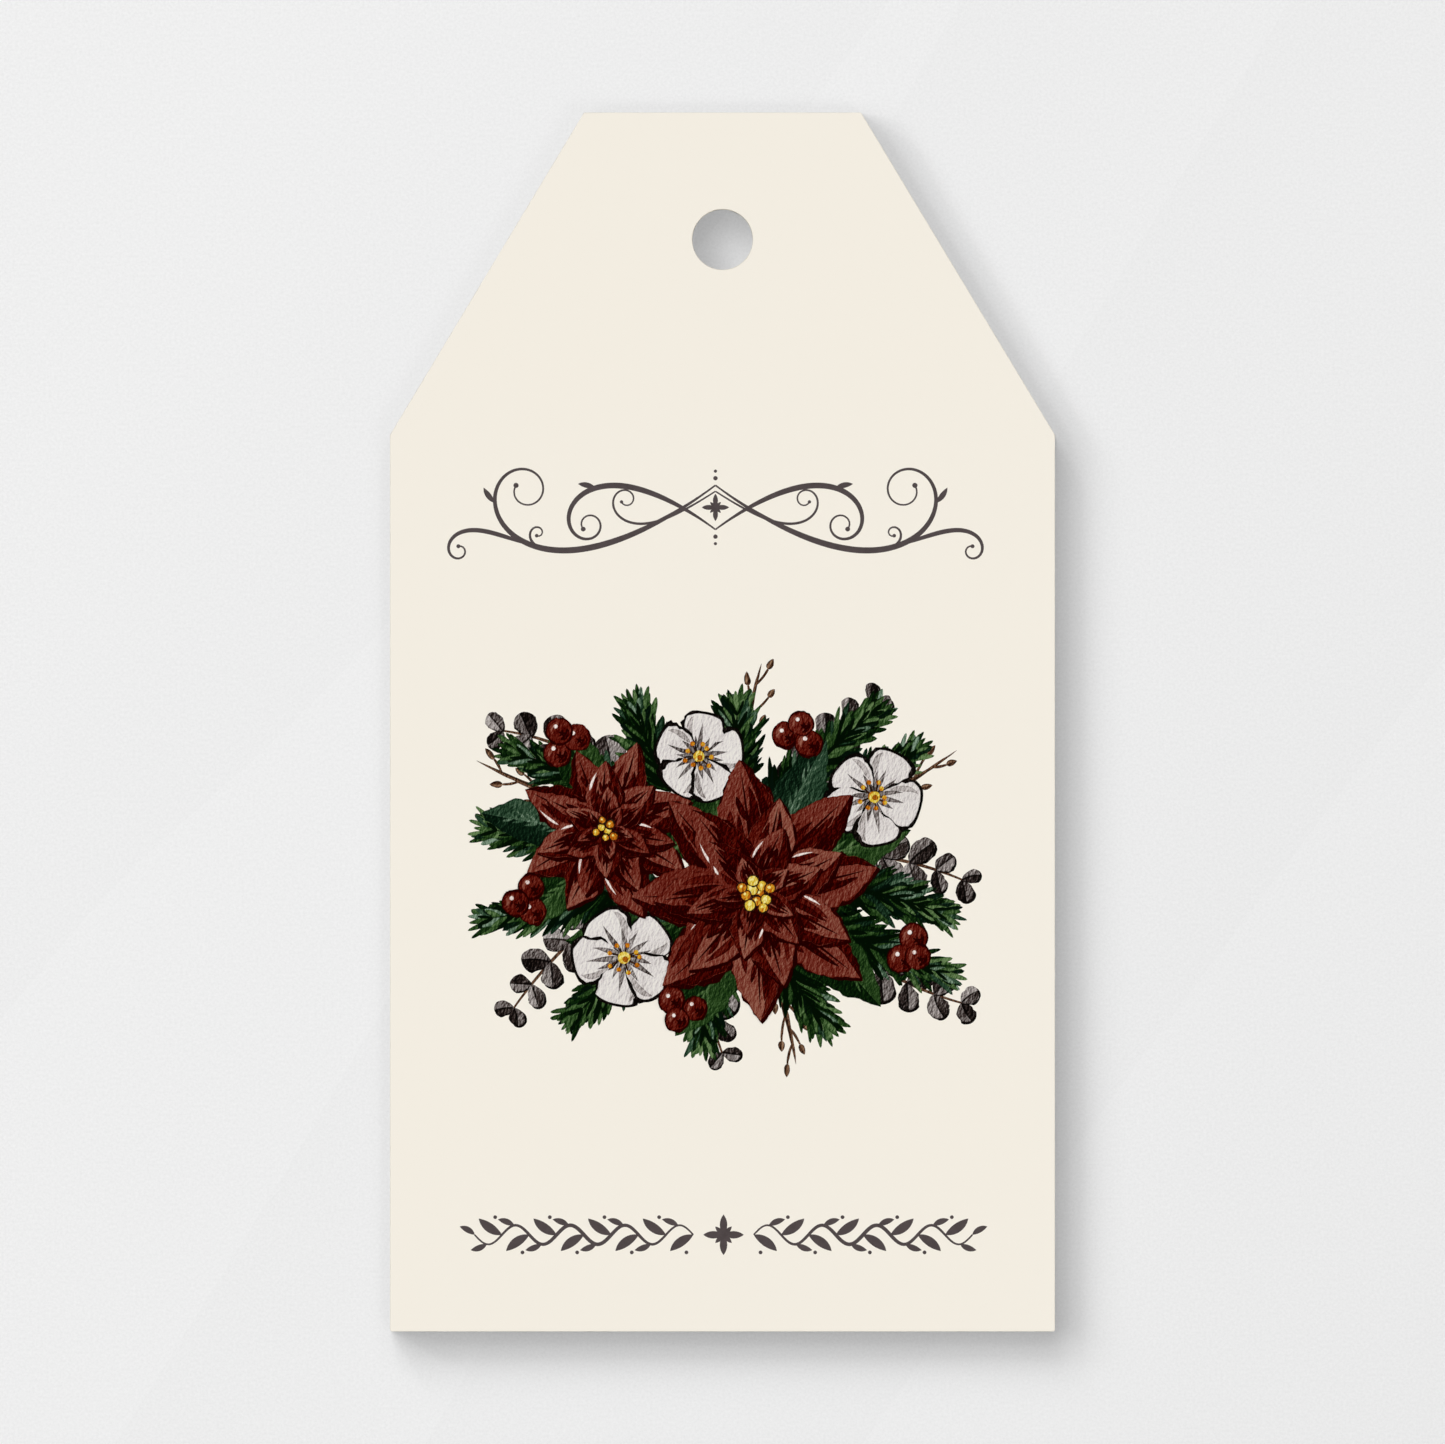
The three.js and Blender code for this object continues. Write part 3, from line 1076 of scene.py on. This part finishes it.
def floor_material(base):
    """Smooth plaster: a fine grain and faint slanting streaks, with painted light that makes it a
    little paler at the upper left, where the light comes from.
    """
    material, tree, shader = new_material("floor_plaster")
    grain = spots(tree, millimetres(tree), 3.6, detail=3, roughness=0.7)
    slant = millimetres(tree, (0.001, 0.012, 1), math.radians(59))
    streaks = scaled(tree, spots(tree, slant, 1.0, detail=1), 5.0)
    streaks = math_node(tree, "FRACT", streaks)
    mixed = scaled(tree, streaks, 0.064, grain)
    mixed = scaled(tree, mixed, 0.94)
    tint = shades(tree, mixed, base, (0.2, 0.9275), (0.8, 1.0645))

    place = millimetres(tree)
    away = node(tree, "VectorMath", {0: place}, operation="LENGTH").outputs["Value"]
    near = remap(tree, away, 90, 300, 1, 0, smooth=True)
    side = node(tree, "SeparateXYZ", {0: place})
    # Painted light: near the card, the floor's colour is a little paler towards the upper left, from
    # where most light comes, and a little darker towards the lower right. It is even again far from
    # the card.
    painted_light_fall = scaled(tree, side.outputs["X"], -0.00023)
    painted_light_fall = scaled(tree, side.outputs["Y"], 0.00014, painted_light_fall)
    painted_light_fall = scaled(tree, painted_light_fall, near, 1.0)
    tint = node(tree, "VectorMath", {0: tint, "Scale": painted_light_fall}, operation="SCALE").outputs["Vector"]
    tree.links.new(tint, shader.inputs["Base Color"])
    shader.inputs["Roughness"].default_value = 1.0
    shader.inputs["Specular IOR Level"].default_value = 0.0
    return material


def studio_floor(scene, base):
    """A level floor under the card, far wider than any view of it."""
    bm = bmesh.new()
    bmesh.ops.create_grid(bm, x_segments=1, y_segments=1, size=FLOOR_HALF_WIDTH)
    mesh = bpy.data.meshes.new("floor")
    bm.to_mesh(mesh)
    bm.free()
    mesh.materials.append(floor_material(base))
    made = bpy.data.objects.new("floor", mesh)
    scene.collection.objects.link(made)
    return made


def studio_world(backdrop):
    """A backdrop that is seen but gives no light, so that all the light is the lamps' own."""
    world = bpy.data.worlds.new("studio")
    world.use_nodes = True
    tree = world.node_tree
    unlit = tree.nodes["Background"]
    unlit.inputs["Strength"].default_value = 0.0
    seen = node(tree, "Background", {"Color": (*backdrop, 1), "Strength": 1.0})
    path = node(tree, "LightPath")
    direct = math_node(tree, "MAXIMUM", path.outputs["Is Camera Ray"], path.outputs["Is Glossy Ray"])
    direct = math_node(tree, "MAXIMUM", direct, path.outputs["Is Transmission Ray"])
    mix = node(tree, "MixShader", {0: direct, 1: unlit.outputs[0], 2: seen.outputs[0]})
    tree.links.new(mix.outputs[0], tree.nodes["World Output"].inputs["Surface"])
    return world


def studio_camera(scene, stage):
    """A long lens straight above the card, which sees the set width of the card's plane."""
    camera = bpy.data.objects.new("camera", bpy.data.cameras.new("camera"))
    camera.data.lens = stage.lens
    distance = stage.view_width / camera.data.sensor_width * stage.lens
    camera.location = (0, 0, FACE + distance)
    camera.data.clip_start = 0.1
    camera.data.clip_end = 50
    scene.collection.objects.link(camera)
    scene.camera = camera


LAMP_DISTANCE = 200.0

# Lamps of one kind: their share of the light, azimuths, elevation and angular width in degrees,
# and what they light. Those that light only the floor draw the card's wide soft shadow on it.
LAMPS = (
    ("low_light", 0.106, (120, 150), 7.5, 5, "floor"),
    ("raking_light", 0.150, (105, 135, 165), 10.5, 7, "floor"),
    ("side_light", 0.136, (95, 122, 148, 175), 15, 10, "floor"),
    ("high_side_light", 0.066, (105, 165), 25, 18, "floor"),
    ("cross_light", 0.030, (75, 195), 13, 9, "floor"),
    ("high_cross_light", 0.041, (60, 210), 24, 16, "floor"),
    ("back_light", 0.036, (-45,), 24, 20, "floor"),
    ("overhead_light", 0.439, (135,), 89, 3, "floor"),
    ("high_light", 0.46, (135,), 84, 34, "tag"),
    ("key_light", 0.26, (135,), 40, 30, "tag"),
    ("fill_light", 0.28, (-95, -45, 5), 28, 30, "tag"),
)


def far_lamp(scene, name, share, azimuth, elevation, spread):
    """A far soft disk that gives a level surface a share of its light."""
    lamp = bpy.data.lights.new(name, "AREA")
    lamp.shape = "DISK"
    height = math.radians(elevation)
    half = math.radians(spread) / 2
    lamp.energy = share * (math.pi * LAMP_DISTANCE / math.cos(half)) ** 2 / math.sin(height)
    lamp.size = 2 * LAMP_DISTANCE * math.tan(half)
    lamp.cycles.use_multiple_importance_sampling = False
    made = bpy.data.objects.new(name, lamp)
    side = math.radians(azimuth)
    away = math.cos(height)
    place = Vector((math.cos(side) * away, math.sin(side) * away, math.sin(height)))
    made.location = place * LAMP_DISTANCE
    made.rotation_euler = (-place).to_track_quat("-Z", "Y").to_euler()
    made.visible_camera = False
    made.visible_glossy = False
    scene.collection.objects.link(made)
    return made


class OBJECT_OT_tag_stage(bpy.types.Operator):
    """Lay the floor, hang the lights and set up the camera"""

    bl_idname = "object.tag_stage"
    bl_label = "Set the Stage"

    def execute(self, context):
        scene = context.scene
        stage = scene.tag_stage
        floor = studio_floor(scene, stage.floor)
        floor_only = bpy.data.collections.new("floor_only")
        floor_only.objects.link(floor)
        all_but_floor = bpy.data.collections.new("all_but_floor")
        all_but_floor.objects.link(floor)
        all_but_floor.collection_objects[0].light_linking.link_state = "EXCLUDE"
        receivers = {"floor": floor_only, "tag": all_but_floor}
        for name, share, azimuths, elevation, spread, lit in LAMPS:
            for azimuth in azimuths:
                level = stage.level * share / len(azimuths)
                lamp = far_lamp(scene, name, level, azimuth, elevation, spread)
                lamp.light_linking.receiver_collection = receivers[lit]
        scene.world = studio_world(stage.floor)
        studio_camera(scene, stage)
        scene.view_settings.view_transform = "Standard"
        return {"FINISHED"}


class VIEW3D_PT_gift_tag(bpy.types.Panel):
    """The tag's sizes and colours, and its steps in the order that they are made"""

    bl_label = "Gift Tag"
    bl_space_type = "VIEW_3D"
    bl_region_type = "UI"
    bl_category = "Gift Tag"

    def draw(self, context):
        scene = context.scene
        for group, kind in GROUPS.items():
            box = self.layout.box()
            for name in kind.__annotations__:
                box.prop(getattr(scene, group), name)
        for step in STEPS:
            self.layout.operator(step.bl_idname)


STEPS = (
    OBJECT_OT_tag_card,
    OBJECT_OT_tag_silver,
    OBJECT_OT_tag_fir,
    OBJECT_OT_tag_leaves,
    OBJECT_OT_tag_blossoms,
    OBJECT_OT_tag_flowers,
    OBJECT_OT_tag_berries,
    OBJECT_OT_tag_flourish,
    OBJECT_OT_tag_vine,
    OBJECT_OT_tag_stage,
)
GROUPS = {"tag_paper": TagPaper, "tag_print": TagPrint, "tag_stage": TagStage}
CLASSES = (*GROUPS.values(), *STEPS, VIEW3D_PT_gift_tag)


def register():
    for made in CLASSES:
        bpy.utils.register_class(made)
    for group, kind in GROUPS.items():
        setattr(bpy.types.Scene, group, PointerProperty(type=kind))


def unregister():
    for group in reversed(GROUPS):
        delattr(bpy.types.Scene, group)
    for made in reversed(CLASSES):
        bpy.utils.unregister_class(made)


def main():
    register()
    bpy.ops.object.tag_card()
    bpy.ops.object.tag_silver()
    bpy.ops.object.tag_fir()
    bpy.ops.object.tag_leaves()
    bpy.ops.object.tag_blossoms()
    bpy.ops.object.tag_flowers()
    bpy.ops.object.tag_berries()
    bpy.ops.object.tag_flourish()
    bpy.ops.object.tag_vine()
    bpy.ops.object.tag_stage()
    while brush_marks:
        bpy.data.meshes.remove(brush_marks.popitem()[1])


if __name__ == "__main__":
    main()
